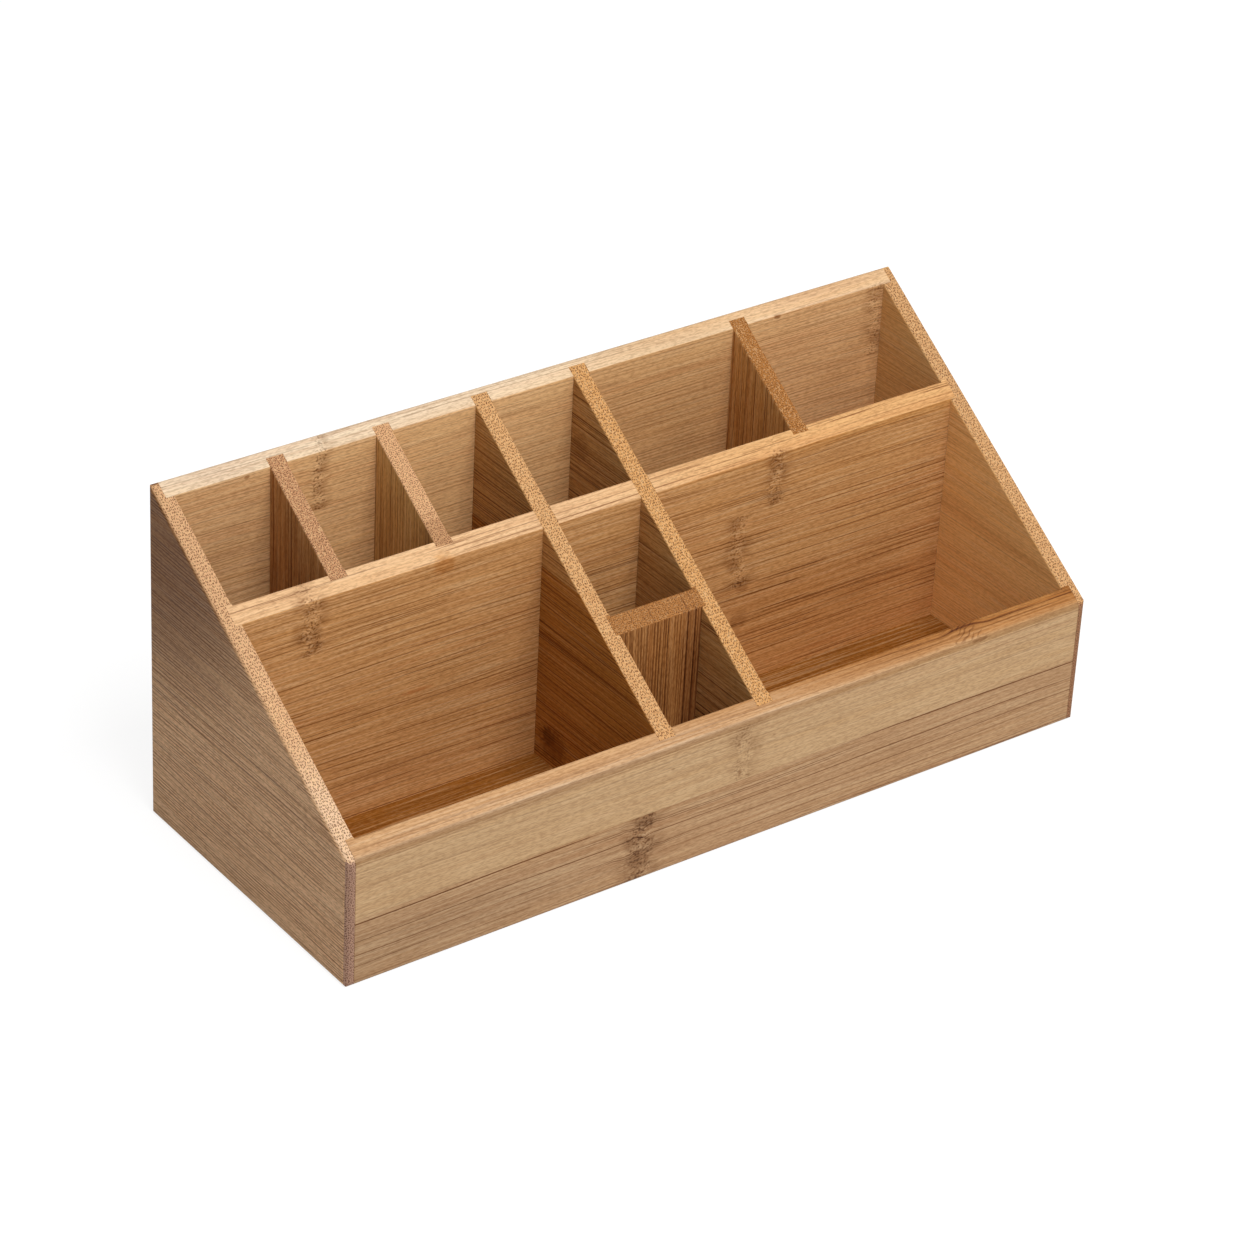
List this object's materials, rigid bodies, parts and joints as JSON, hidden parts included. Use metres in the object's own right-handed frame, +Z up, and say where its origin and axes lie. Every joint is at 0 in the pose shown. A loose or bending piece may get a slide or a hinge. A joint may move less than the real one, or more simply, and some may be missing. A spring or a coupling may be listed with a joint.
{
  "type": "desk organizer",
  "caption": "Open-topped desk organizer of laminated bamboo boards with a sloping top: tall pockets at the back and low trays in front.",
  "frame": {"origin": "on the ground under the middle of the organizer, the centre of the bounding box's bottom face", "axes": "+X to the right along the width, +Y from the low front to the high back, +Z up"},
  "size_m": [0.33, 0.13, 0.1367],
  "materials": {
    "bamboo_side": "fine sanded, clear satin lacquer",
    "bamboo_panel": "fine sanded, clear satin lacquer",
    "bamboo_cross": "fine sanded, clear satin lacquer",
    "bamboo_long": "fine sanded, clear satin lacquer",
    "bamboo_rear": "fine sanded, clear satin lacquer",
    "bamboo_small": "fine sanded, clear satin lacquer",
    "bamboo_floor": "fine sanded, clear satin lacquer"
  },
  "bodies": {
    "root": {"side_left": "bamboo_side", "side_right": "bamboo_side", "front_panel": "bamboo_panel", "back_panel": "bamboo_panel", "cross_divider": "bamboo_cross", "long_divider_left": "bamboo_long", "long_divider_right": "bamboo_long", "rear_divider_1": "bamboo_rear", "rear_divider_2": "bamboo_rear", "rear_divider_3": "bamboo_rear", "small_divider": "bamboo_small", "floor_board": "bamboo_floor"}
  },
  "joints": []
}
